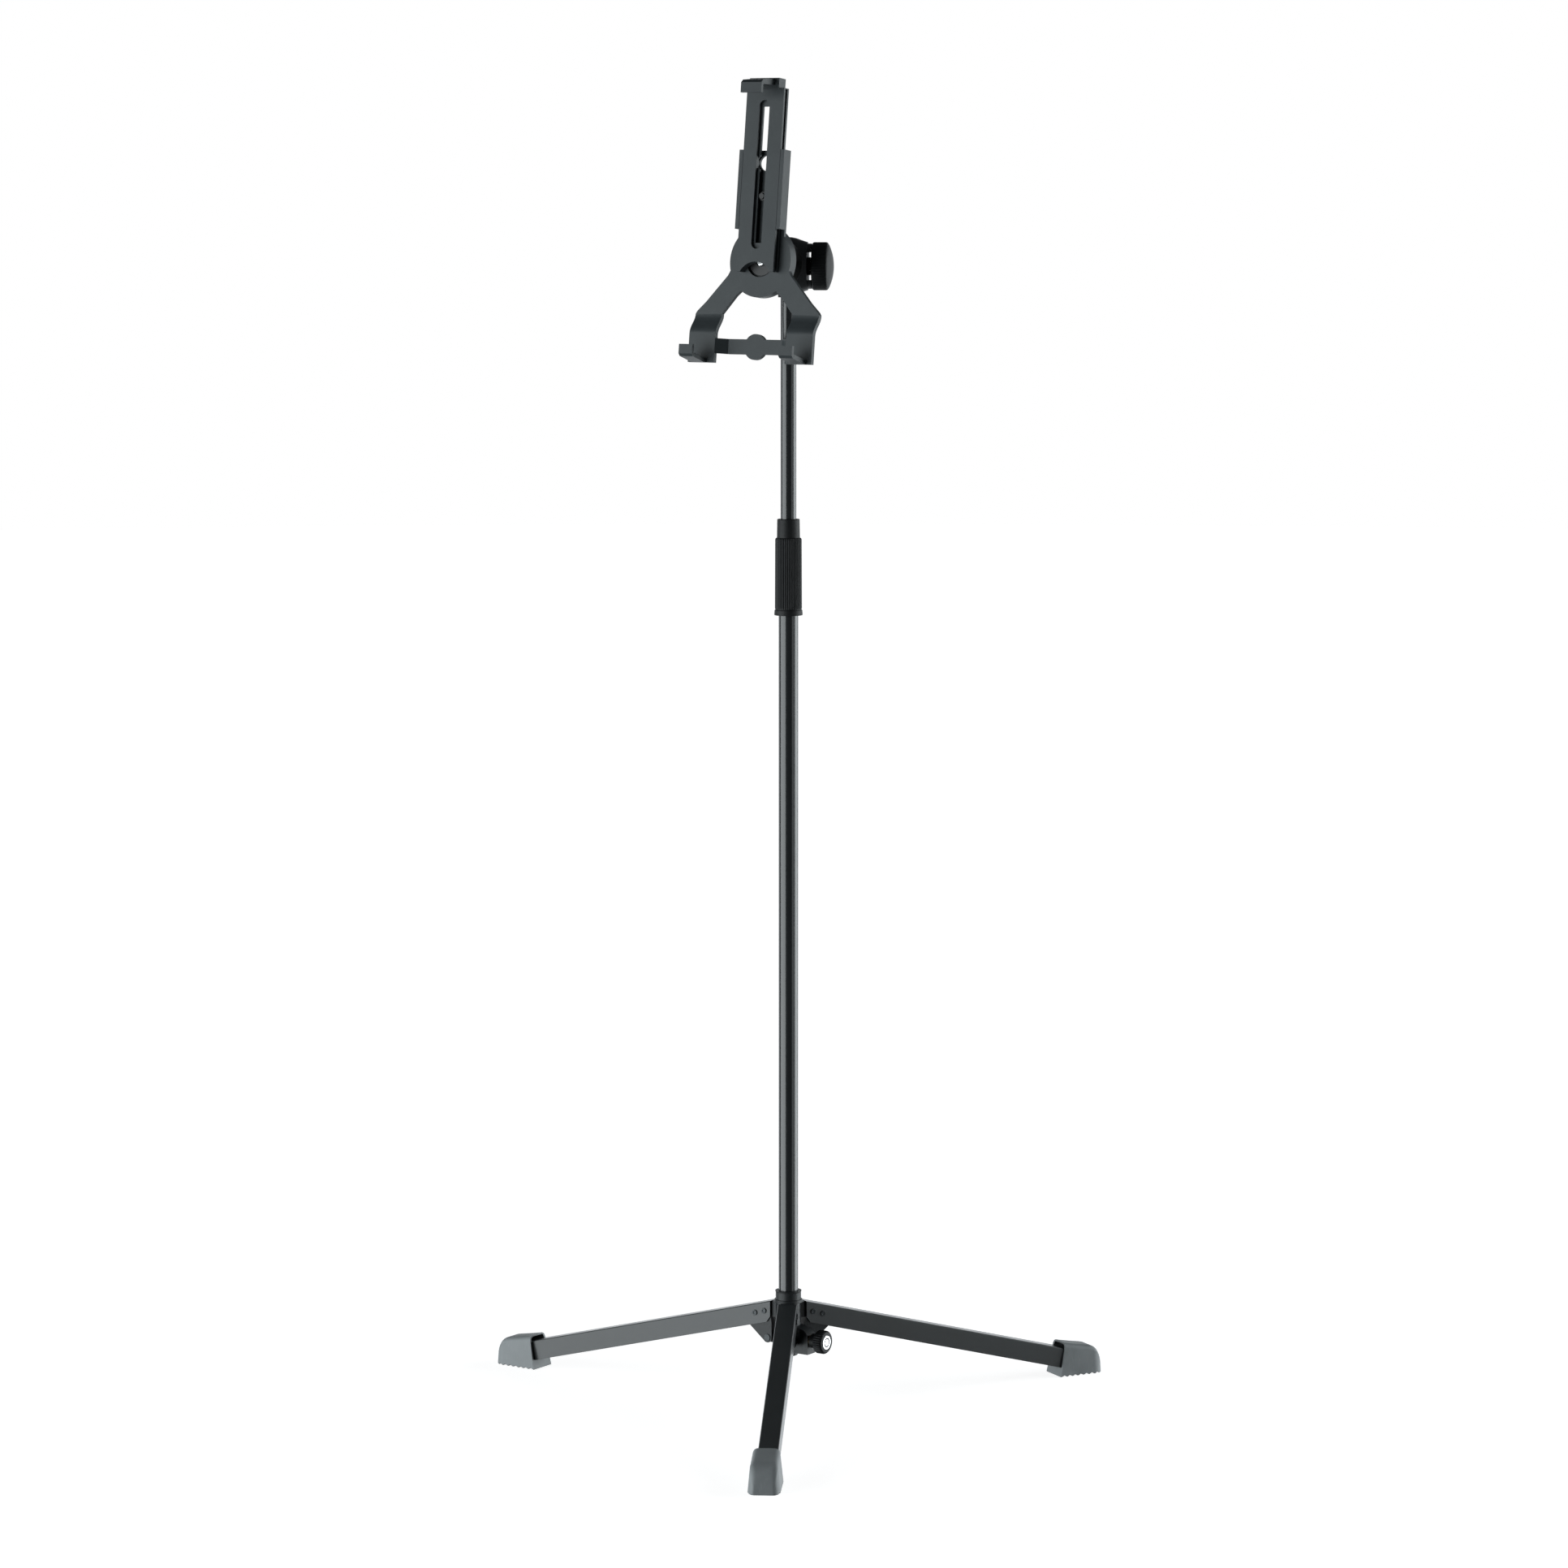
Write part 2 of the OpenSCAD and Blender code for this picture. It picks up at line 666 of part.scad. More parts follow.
module upper_slider() {
    half = slider_w / 2;
    hook_half = 12.2;
    block_half = 17.5;
    color([0.13, 0.14, 0.15]) plate_frame() difference() {
        union() {
            slab(d_front - slider_t, d_front) patch([-half, slide_low], [half, slide_high]);
            slab(d_front - slider_t, d_front + 3)
                patch([-block_half, slide_high - 1], [block_half, slide_high + block_h]);
            side_cut(0, 2 * hook_half) upper_hook_outline();
        }
        slider_slot();
        slab(d_front - slider_t - 1, d_front + 1) translate([0, slide_low - 11]) circle(20.8);
        for (end = [0, 1]) mirror([end, 0, 0]) slab(tongue_d[0] - gap, tongue_d[1] + gap)
            patch([half - 2, slide_low - 1], [half + 1, slide_high - 1]);
    }
}

lower_tube();
tube_end_plug();
clutch_collet();
clutch_sleeve();
base_hub();
clamp_insert();
clamp_pad();
base_knob();
base_knob_stud();
base_knob_cap();
leg_pin(0);  // leg_pin_a
leg_pin(1);  // leg_pin_b
leg_pin(2);  // leg_pin_c
leg(0);  // leg_a
leg(1);  // leg_b
leg(2);  // leg_c
knuckle(0);  // knuckle_a
knuckle(1);  // knuckle_b
knuckle(2);  // knuckle_c
leg_rivets(0);  // leg_rivets_a
leg_rivets(1);  // leg_rivets_b
leg_rivets(2);  // leg_rivets_c
foot(0);  // foot_a
foot(1);  // foot_b
foot(2);  // foot_c
rod_bush();
upper_rod();
socket_housing();
joint_insert();
joint_pad();
joint_knob();
joint_knob_stud();
ball_liner();
ball_stem();
swivel_washer();
swivel_screw();
lower_bracket();
slide_stop();
upper_slider();
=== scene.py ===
"""Looks of the tablet music stand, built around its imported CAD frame. Metres, +Z up.

The CAD nodes keep their shape and get rounded edges and procedural materials. The foot caps, the clutch
sleeve and both knobs are rebuilt here with the ribs, lips and soft corners that their CAD solids leave out.
"""

import json
import math

import bmesh
import bpy
from mathutils import Matrix, Vector


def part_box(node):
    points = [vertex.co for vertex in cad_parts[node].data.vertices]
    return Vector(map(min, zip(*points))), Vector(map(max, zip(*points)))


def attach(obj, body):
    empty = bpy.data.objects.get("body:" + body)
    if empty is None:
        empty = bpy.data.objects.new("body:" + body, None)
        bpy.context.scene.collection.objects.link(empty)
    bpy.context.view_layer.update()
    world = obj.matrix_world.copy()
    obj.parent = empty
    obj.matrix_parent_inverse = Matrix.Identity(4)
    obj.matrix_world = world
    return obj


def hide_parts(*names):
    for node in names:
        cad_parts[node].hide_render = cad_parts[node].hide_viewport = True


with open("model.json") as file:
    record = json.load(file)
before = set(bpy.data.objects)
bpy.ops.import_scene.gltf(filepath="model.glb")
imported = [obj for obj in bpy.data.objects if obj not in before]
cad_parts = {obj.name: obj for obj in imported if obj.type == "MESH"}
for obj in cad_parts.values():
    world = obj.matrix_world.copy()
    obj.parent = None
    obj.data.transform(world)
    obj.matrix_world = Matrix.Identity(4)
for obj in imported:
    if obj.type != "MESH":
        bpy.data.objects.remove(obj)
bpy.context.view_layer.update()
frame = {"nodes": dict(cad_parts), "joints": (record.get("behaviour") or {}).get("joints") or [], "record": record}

MM = 0.001
UP = Vector((0, 0, 1))
nodes = frame["nodes"]
scene = bpy.context.scene


# ---- camera, light and floor ----

CAMERA_AZIMUTH = 303.58             # degrees round the tube
CAMERA_DISTANCE = 5.1215            # from the tube's axis
CAMERA_HEIGHT = 1.2365
CAMERA_PITCH = 6.615                # degrees below level
CAMERA_YAW_OFFSET = 0.05            # degrees to the left of the tube
CAMERA_LENS = 116.96                # focal length in mm, on a sensor of SENSOR_WIDTH
SENSOR_WIDTH = 36
LIGHT_AIM = Vector((0, 0, 0.7))
LIGHT_COLOUR = (0.92, 0.98, 1.0)
WHITE = (1, 1, 1, 1)
STUDIO_COLOUR = (0.93, 0.97, 1, 1)
AMBIENT = 0.05                      # strength of the dark studio
BACKDROP = 1.1                      # what the white backdrop adds to it
FLOOR_RADIUS = 14
FLOOR_SIDES = 72


def polar(azimuth, radius, height):
    """Point at that azimuth in degrees round the tube."""
    a = math.radians(azimuth)
    return Vector((radius * math.cos(a), radius * math.sin(a), height))


def make_camera():
    data = bpy.data.cameras.new("camera")
    data.lens = CAMERA_LENS
    data.sensor_width = SENSOR_WIDTH
    data.clip_end = 60
    camera = bpy.data.objects.new("camera", data)
    camera.location = polar(CAMERA_AZIMUTH, CAMERA_DISTANCE, CAMERA_HEIGHT)
    yaw = CAMERA_AZIMUTH - 270 + CAMERA_YAW_OFFSET
    camera.rotation_euler = (math.radians(90 - CAMERA_PITCH), 0, math.radians(yaw))
    scene.collection.objects.link(camera)
    scene.camera = camera


def softbox(name, azimuth, distance, height, width, tall, radiance):
    """Rectangular studio light that faces the stand. Its power is pi times its radiance and its area."""
    data = bpy.data.lights.new(name, "AREA")
    data.shape = "RECTANGLE"
    data.size = width
    data.size_y = tall
    data.energy = radiance * math.pi * width * tall
    data.color = LIGHT_COLOUR
    lamp = bpy.data.objects.new(name, data)
    lamp.location = polar(azimuth, distance, height)
    lamp.rotation_euler = (LIGHT_AIM - lamp.location).to_track_quat("-Z", "Y").to_euler()
    scene.collection.objects.link(lamp)


def make_lights():
    softbox("key", azimuth=-124, distance=3.2, height=0.35, width=4.2, tall=4.0, radiance=3.0)
    softbox("rim", azimuth=46, distance=3.2, height=0.6, width=2.6, tall=4.0, radiance=3.6)
    softbox("fill", azimuth=-2, distance=4.0, height=0.6, width=1.6, tall=4.0, radiance=0.8)


def ramp(tree, value, low, high, to_low, to_high, smooth=False):
    """Node output that carries a value from low..high to to_low..to_high."""
    node = tree.nodes.new("ShaderNodeMapRange")
    if smooth:
        node.interpolation_type = "SMOOTHSTEP"
    limits = {"From Min": low, "From Max": high, "To Min": to_low, "To Max": to_high}
    for key, limit in limits.items():
        node.inputs[key].default_value = limit
    tree.links.new(value, node.inputs["Value"])
    return node.outputs["Result"]


def product(tree, first, second):
    """Node output that multiplies two outputs."""
    node = tree.nodes.new("ShaderNodeMath")
    node.operation = "MULTIPLY"
    tree.links.new(first, node.inputs[0])
    tree.links.new(second, node.inputs[1])
    return node.outputs[0]


def studio_strength(tree):
    """How bright the studio is in each direction: dark, but for a backdrop behind the stand and low."""
    place = tree.nodes.new("ShaderNodeTexCoord").outputs["Generated"]
    facing = tree.nodes.new("ShaderNodeVectorMath")
    facing.operation = "DOT_PRODUCT"
    facing.inputs[1].default_value = polar(CAMERA_AZIMUTH + 180, 1, 0)
    split = tree.nodes.new("ShaderNodeSeparateXYZ")
    tree.links.new(place, facing.inputs[0])
    tree.links.new(place, split.inputs[0])
    behind = ramp(tree, facing.outputs["Value"], 0.45, 0.8, 0.0, 1.0, smooth=True)
    below = ramp(tree, split.outputs["Z"], 0.22, 0.42, 1.0, 0.0, smooth=True)
    total = tree.nodes.new("ShaderNodeMath")
    total.operation = "MULTIPLY_ADD"
    total.inputs[1].default_value = BACKDROP
    total.inputs[2].default_value = AMBIENT
    tree.links.new(product(tree, behind, below), total.inputs[0])
    return total.outputs[0]


def make_world():
    """White to the camera; to the object a dark studio with a white backdrop low behind it."""
    world = bpy.data.worlds.new("studio")
    scene.world = world
    scene.view_settings.view_transform = "Standard"
    world.use_nodes = True
    tree = world.node_tree
    tree.nodes.clear()
    output = tree.nodes.new("ShaderNodeOutputWorld")
    rays = tree.nodes.new("ShaderNodeLightPath")
    seen = tree.nodes.new("ShaderNodeBackground")
    seen.inputs["Color"].default_value = WHITE
    lit = tree.nodes.new("ShaderNodeBackground")
    lit.inputs["Color"].default_value = STUDIO_COLOUR
    tree.links.new(studio_strength(tree), lit.inputs["Strength"])
    mix = tree.nodes.new("ShaderNodeMixShader")
    tree.links.new(rays.outputs["Is Camera Ray"], mix.inputs[0])
    tree.links.new(lit.outputs[0], mix.inputs[1])
    tree.links.new(seen.outputs[0], mix.inputs[2])
    tree.links.new(mix.outputs[0], output.inputs["Surface"])


def make_floor():
    """Plain pale floor, brighter far away so that it runs into the white background.

    Only the camera sees it, so it throws no light back up onto the black parts.
    """
    mesh = bpy.data.meshes.new("floor")
    rim = [polar(360 * i / FLOOR_SIDES, FLOOR_RADIUS, 0) for i in range(FLOOR_SIDES)]
    mesh.from_pydata(rim, [], [range(FLOOR_SIDES)])
    floor = bpy.data.objects.new("floor", mesh)
    scene.collection.objects.link(floor)
    floor.visible_diffuse = False
    floor.visible_glossy = False
    floor.visible_shadow = False
    material = bpy.data.materials.new("floor")
    material.use_nodes = True
    tree = material.node_tree
    shader = tree.nodes["Principled BSDF"]
    shader.inputs["Base Color"].default_value = (0.45, 0.45, 0.45, 1)
    shader.inputs["Roughness"].default_value = 1
    shader.inputs["Specular IOR Level"].default_value = 0
    shader.inputs["Emission Color"].default_value = WHITE
    place = tree.nodes.new("ShaderNodeTexCoord")
    length = tree.nodes.new("ShaderNodeVectorMath")
    length.operation = "LENGTH"
    tree.links.new(place.outputs["Object"], length.inputs[0])
    glow = ramp(tree, length.outputs["Value"], 0.5, 2.5, 0.86, 1.0, smooth=True)
    tree.links.new(glow, shader.inputs["Emission Strength"])
    mesh.materials.append(material)


# ---- materials ----

NOISE_LOW = 0.3                     # most of a noise's values lie between these two
NOISE_HIGH = 0.7
ORANGE_PEEL = 0.002                 # relief depths and grain sizes are in mm
MOULD_GRAIN = 0.35
MOULD_RELIEF = 0.02


class Finish:
    """A procedural material that starts from one Principled shader."""

    def __init__(self, name, roughness, metallic=0.0, ior=1.5, coat=0.0, coat_roughness=0.1):
        self.material = bpy.data.materials.new(name)
        self.material.use_nodes = True
        self.tree = self.material.node_tree
        self.shader = self.tree.nodes["Principled BSDF"]
        self.shader.inputs["Metallic"].default_value = metallic
        self.shader.inputs["Roughness"].default_value = roughness
        self.shader.inputs["IOR"].default_value = ior
        self.shader.inputs["Coat Weight"].default_value = coat
        self.shader.inputs["Coat Roughness"].default_value = coat_roughness
        self.place = self.tree.nodes.new("ShaderNodeTexCoord")
        self.height = None

    def node(self, kind, **values):
        made = self.tree.nodes.new(kind)
        for key, value in values.items():
            made.inputs[key].default_value = value
        return made

    def link(self, out, into):
        self.tree.links.new(out, into)

    def stretched(self, scale):
        """Object coordinates in millimetres, scaled per axis."""
        mapping = self.node("ShaderNodeMapping", Scale=[1000 * s for s in scale])
        self.link(self.place.outputs["Object"], mapping.inputs["Vector"])
        return mapping.outputs["Vector"]

    def noise(self, per_mm, detail=2.0, rough=0.5, scale=(1, 1, 1)):
        texture = self.node("ShaderNodeTexNoise", Scale=per_mm, Detail=detail, Roughness=rough)
        self.link(self.stretched(scale), texture.inputs["Vector"])
        return texture.outputs["Fac"]

    def grain(self, per_mm):
        texture = self.node("ShaderNodeTexVoronoi", Scale=per_mm)
        self.link(self.stretched((1, 1, 1)), texture.inputs["Vector"])
        return texture.outputs["Distance"]

    def remap(self, value, low, high, to_low, to_high):
        return ramp(self.tree, value, low, high, to_low, to_high)

    def blend(self, factor, light):
        """Colour mix whose second colour is light; the first is left to set or link."""
        mix = self.tree.nodes.new("ShaderNodeMix")
        mix.data_type = "RGBA"
        mix.inputs["B"].default_value = (*light, 1)
        self.link(factor, mix.inputs["Factor"])
        return mix

    def colour(self, value, dark, light, wear=None, worn_gain=1.0):
        """Base colour that runs from dark to light with a noise, and lighter still where wear is near 1."""
        mix = self.blend(self.remap(value, NOISE_LOW, NOISE_HIGH, 0, 1), light)
        mix.inputs["A"].default_value = (*dark, 1)
        if wear:
            worn = self.blend(wear, [worn_gain * c for c in light])
            self.link(mix.outputs["Result"], worn.inputs["A"])
            mix = worn
        self.link(mix.outputs["Result"], self.shader.inputs["Base Color"])

    def roughness(self, value, low, high):
        """Roughness that runs from low to high with a noise."""
        self.link(self.remap(value, NOISE_LOW, NOISE_HIGH, low, high), self.shader.inputs["Roughness"])

    def bump(self, value, depth_mm, strength=1.0):
        """Adds relief; each call lies on the one before."""
        relief = self.node("ShaderNodeBump", Strength=strength, Distance=depth_mm * MM)
        self.link(value, relief.inputs["Height"])
        if self.height:
            self.link(self.height, relief.inputs["Normal"])
        self.height = relief.outputs["Normal"]
        self.link(self.height, self.shader.inputs["Normal"])


def powder_coat(name, dark, light, rough, gloss, ior=1.5):
    """Coated steel: a glossy skin with orange peel, faint dust and hairline scratches along the part."""
    f = Finish(name, roughness=rough, ior=ior, coat=gloss, coat_roughness=0.12)
    cloud = f.noise(0.02, detail=4)
    dust = f.noise(0.35, detail=3)
    scratch = f.noise(1.6, detail=2, scale=(1, 1, 0.03))
    f.colour(cloud, dark, light, wear=f.remap(scratch, 0.74, 0.8, 0.0, 0.2), worn_gain=1.8)
    f.roughness(dust, rough - 0.02, rough + 0.05)
    f.bump(f.noise(0.3, detail=2), ORANGE_PEEL)
    return f.material


def moulded(name, dark, light, rough, sheen=0.5):
    """Moulded plastic with a fine eroded grain and slight mottling."""
    f = Finish(name, roughness=rough, ior=1.46)
    f.shader.inputs["Specular IOR Level"].default_value = sheen
    cloud = f.noise(0.03, detail=4)
    speck = f.noise(1 / MOULD_GRAIN, detail=2)
    rubbed = f.remap(f.noise(0.12, detail=5, rough=0.6), 0.62, 0.75, 0.0, 0.4)
    f.colour(cloud, dark, light, wear=rubbed, worn_gain=1.25)
    f.roughness(speck, rough - 0.05, rough + 0.07)
    f.bump(f.grain(1 / MOULD_GRAIN), MOULD_RELIEF, 0.6)
    f.bump(f.noise(0.25, detail=3), 2 * MOULD_RELIEF, 0.35)
    return f.material


def cast(name, dark, light, rough):
    """Die casting under satin coating: coarse soft skin with small pits."""
    f = Finish(name, roughness=rough, ior=1.42)
    skin = f.noise(0.6, detail=4)
    pits = f.remap(f.grain(0.9), 0.0, 0.25, 0.0, 1.0)
    f.colour(skin, dark, light)
    f.roughness(skin, rough - 0.06, rough + 0.1)
    f.bump(skin, 0.06, 0.5)
    f.bump(pits, 0.03, 0.3)
    return f.material


def rubber(name, dark, light):
    """Foot rubber: matte, slightly dusty, with moulding grain and scuffs."""
    f = Finish(name, roughness=0.48, ior=1.45)
    cloud = f.noise(0.05, detail=5)
    scuff = f.remap(f.noise(0.5, detail=4, scale=(1, 1, 0.2)), 0.62, 0.72, 0.0, 0.35)
    f.colour(cloud, dark, light, wear=scuff, worn_gain=1.3)
    f.roughness(cloud, 0.42, 0.56)
    f.bump(f.noise(1.8, detail=3), 0.05, 0.6)
    return f.material


def metal(name, dark, light, rough):
    """Bare or plated metal with fine tool marks."""
    f = Finish(name, roughness=rough, metallic=1.0)
    marks = f.noise(2.5, detail=3, scale=(1, 1, 0.15))
    f.colour(marks, dark, light)
    f.roughness(marks, rough - 0.05, rough + 0.08)
    f.bump(marks, 0.01)
    return f.material


def nylon(name, dark, light):
    """Milky nylon that lets a little light in."""
    f = Finish(name, roughness=0.45, ior=1.5)
    cloud = f.noise(0.1, detail=3)
    f.shader.inputs["Subsurface Weight"].default_value = 0.1
    f.shader.inputs["Subsurface Radius"].default_value = (0.002, 0.002, 0.0015)
    f.colour(cloud, dark, light)
    f.bump(f.noise(0.8, detail=2), 0.02)
    return f.material


MATERIALS = {
    "tube_coating": powder_coat(
        "tube_coating", (0.014, 0.016, 0.017), (0.018, 0.02, 0.022), rough=0.2, gloss=0.35, ior=1.6),
    "leg_coating": powder_coat(
        "leg_coating", (0.024, 0.027, 0.028), (0.029, 0.032, 0.034), rough=0.3, gloss=0.15),
    "hub_coating": cast("hub_coating", (0.01, 0.012, 0.013), (0.016, 0.018, 0.02), rough=0.42),
    "grip_plastic": moulded(
        "grip_plastic", (0.006, 0.007, 0.0075), (0.01, 0.011, 0.012), rough=0.5, sheen=0.3),
    "joint_plastic": moulded(
        "joint_plastic", (0.009, 0.01, 0.011), (0.014, 0.016, 0.017), rough=0.45, sheen=0.4),
    "holder_plastic": moulded(
        "holder_plastic", (0.03, 0.036, 0.039), (0.038, 0.045, 0.048), rough=0.45, sheen=0.36),
    "black_plastic": moulded("black_plastic", (0.008, 0.008, 0.008), (0.013, 0.013, 0.014), rough=0.4),
    "foot_rubber": rubber("foot_rubber", (0.19, 0.204, 0.21), (0.23, 0.245, 0.252)),
    "nylon": nylon("nylon", (0.68, 0.66, 0.6), (0.76, 0.75, 0.7)),
    "brass": metal("brass", (0.62, 0.43, 0.17), (0.78, 0.58, 0.27), rough=0.25),
    "steel": metal("steel", (0.5, 0.5, 0.51), (0.66, 0.67, 0.68), rough=0.28),
    "rivet_steel": metal("rivet_steel", (0.03, 0.033, 0.035), (0.06, 0.063, 0.065), rough=0.3),
    "chrome": metal("chrome", (0.8, 0.81, 0.82), (0.92, 0.93, 0.94), rough=0.1),
}


# ---- clean edges on the CAD nodes ----

SMOOTH_BELOW = math.radians(32)
FLAT_BELOW = math.radians(0.3)      # faces that meet flatter than this become one
WELD_DISTANCE = 0.002 * MM


def node_group(name):
    group = bpy.data.node_groups.new(name, "GeometryNodeTree")
    for way in ("INPUT", "OUTPUT"):
        group.interface.new_socket("Geometry", in_out=way, socket_type="NodeSocketGeometry")
    return group, group.nodes.new("NodeGroupInput"), group.nodes.new("NodeGroupOutput")


def weld_group():
    """Joins the corners that the frame's file keeps apart, and drops its stored normals."""
    group, start, end = node_group("weld")
    bare = group.nodes.new("GeometryNodeRemoveAttribute")
    bare.inputs["Name"].default_value = "custom_normal"
    merge = group.nodes.new("GeometryNodeMergeByDistance")
    merge.inputs["Distance"].default_value = WELD_DISTANCE
    group.links.new(start.outputs[0], bare.inputs["Geometry"])
    group.links.new(bare.outputs["Geometry"], merge.inputs["Geometry"])
    group.links.new(merge.outputs["Geometry"], end.inputs[0])
    return group


def smooth_group():
    """Smooth faces with creases kept at real edges."""
    group, start, end = node_group("smooth")
    faces = group.nodes.new("GeometryNodeSetShadeSmooth")
    edges = group.nodes.new("GeometryNodeSetShadeSmooth")
    edges.domain = "EDGE"
    edges.inputs["Shade Smooth"].default_value = False
    angle = group.nodes.new("GeometryNodeInputMeshEdgeAngle")
    sharp = group.nodes.new("FunctionNodeCompare")
    sharp.operation = "GREATER_THAN"
    sharp.inputs["B"].default_value = SMOOTH_BELOW
    group.links.new(angle.outputs["Unsigned Angle"], sharp.inputs["A"])
    group.links.new(sharp.outputs["Result"], edges.inputs["Selection"])
    group.links.new(start.outputs[0], faces.inputs["Geometry"])
    group.links.new(faces.outputs["Geometry"], edges.inputs["Geometry"])
    group.links.new(edges.outputs["Geometry"], end.inputs[0])
    return group


WELD = weld_group()
SMOOTH = smooth_group()


def add_group(piece, group):
    modifier = piece.modifiers.new(group.name, "NODES")
    modifier.node_group = group


def round_edges(piece, width):
    """Welds a CAD node, rounds its real edges and shades it smooth, with normals led by the large faces."""
    add_group(piece, WELD)
    flat = piece.modifiers.new("flat", "DECIMATE")
    flat.decimate_type = "DISSOLVE"
    flat.angle_limit = FLAT_BELOW
    bevel = piece.modifiers.new("bevel", "BEVEL")
    bevel.width = width
    bevel.segments = 3
    bevel.limit_method = "ANGLE"
    bevel.angle_limit = SMOOTH_BELOW
    bevel.miter_outer = "MITER_ARC"
    add_group(piece, SMOOTH)
    even = piece.modifiers.new("even", "WEIGHTED_NORMAL")
    even.keep_sharp = True
    even.weight = 100


# How wide each material's edges are rounded, in mm.
EDGE_WIDTHS = {
    "tube_coating": 0.2,
    "leg_coating": 0.3,
    "hub_coating": 0.7,
    "grip_plastic": 0.5,
    "joint_plastic": 0.8,
    "holder_plastic": 0.6,
    "black_plastic": 0.3,
    "foot_rubber": 0.8,
    "nylon": 0.1,
    "brass": 0.15,
    "steel": 0.2,
    "rivet_steel": 0.2,
    "chrome": 0.2,
}


def dress_frame():
    """Gives every CAD node its material and its edges."""
    for part in frame["record"]["subparts"]:
        piece = nodes[part["node"]]
        slot = part["material_slot"]
        piece.data.materials.clear()
        piece.data.materials.append(MATERIALS[slot])
        round_edges(piece, EDGE_WIDTHS[slot] * MM)


# ---- helpers for the new pieces ----


def finish_piece(mesh, name, slot, body, *stands_for):
    """Turns a bmesh into a piece that rides a body and stands for its CAD nodes."""
    bmesh.ops.recalc_face_normals(mesh, faces=mesh.faces)
    data = bpy.data.meshes.new(name)
    mesh.to_mesh(data)
    mesh.free()
    data.materials.append(MATERIALS[slot])
    piece = bpy.data.objects.new(name, data)
    scene.collection.objects.link(piece)
    add_group(piece, SMOOTH)
    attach(piece, body)
    if stands_for:
        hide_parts(*stands_for)
    return piece


def band(mesh, low, high):
    """Faces between two rings of vertices."""
    count = len(low)
    for i in range(count):
        j = (i + 1) % count
        mesh.faces.new((low[i], low[j], high[j], high[i]))


def skin(rings, hollow=False):
    """Mesh over rings of points. Its two ends are closed, or joined to each other if it is hollow."""
    mesh = bmesh.new()
    made = [[mesh.verts.new(point) for point in ring] for ring in rings]
    for low, high in zip(made, made[1:]):
        band(mesh, low, high)
    if hollow:
        band(mesh, made[-1], made[0])
    else:
        mesh.faces.new(made[0])
        mesh.faces.new(made[-1])
    return mesh


def turned(profile, ribs, steps, depth, place, hollow=False):
    """Mesh of a ribbed turned part, with this many steps per rib.

    The profile and the ribs' depth are in mm. The profile holds (radius, height, share), where share says
    how much of the ribs' depth shows.
    """
    rings = []
    count = ribs * steps
    for radius, height, share in profile:
        ring = []
        for i in range(count):
            groove = 0.5 - 0.5 * math.cos(2 * math.pi * i / steps)
            r = (radius - depth * share * groove ** 2) * MM
            a = 2 * math.pi * i / count
            ring.append(place @ Vector((r * math.cos(a), r * math.sin(a), height * MM)))
        rings.append(ring)
    return skin(rings, hollow)


def ribless(*points):
    """Profile points without ribs, from pairs of radius and height."""
    return [(radius, height, 0) for radius, height in points]


def rounding(radius, height, corner):
    """Profile points round a corner's centre, from beside it to above it."""
    points = []
    for degrees in range(10, 91, 20):
        a = math.radians(degrees)
        points.append((radius + corner * math.cos(a), height + corner * math.sin(a)))
    return ribless(*points)


def span(node, origin, axis):
    """Lowest and highest reach of a CAD node along an axis and its greatest radius round it, in mm."""
    low = math.inf
    high = -math.inf
    radius = 0
    for vertex in nodes[node].data.vertices:
        offset = vertex.co - origin
        reach = offset.dot(axis)
        low = min(low, reach)
        high = max(high, reach)
        radius = max(radius, (offset - axis * reach).length)
    return low / MM, high / MM, radius / MM


def joint(name):
    """Position and unit axis of one of the frame's joints."""
    found = next(j for j in frame["joints"] if j["name"] == name)
    return Vector(found["pos_m"]), Vector(found["axis"]).normalized()


def on_axis(origin, axis):
    """Matrix that stands a turned part on an axis."""
    return Matrix.Translation(origin) @ axis.to_track_quat("Z", "Y").to_matrix().to_4x4()


# ---- grips, in mm ----

LIP_HEIGHT = 5.5                    # flared lip at the sleeve's lower end
GRIP_END = 78                       # where the sleeve's ribs end and its collar begins
SLEEVE_TUBE_BORE = 10.35            # bore round the lower tube, up to TUBE_BORE_END
SLEEVE_ROD_BORE = 8.35              # bore round the rod, from ROD_BORE_START
TUBE_BORE_END = 52
ROD_BORE_START = 60
COLLAR_ROUND = 0.75
STUD_BORE = 4.05                    # both knobs' bore
DOME_RISE = 6                       # how far the joint knob's end is domed
CUP_RADIUS = 7.2                    # recess for the base knob's cap
GROOVE_SHADE_RADII = (3.5, 4.9)              # radii of the groove in that cap, whose floor is painted black as the groove's shade
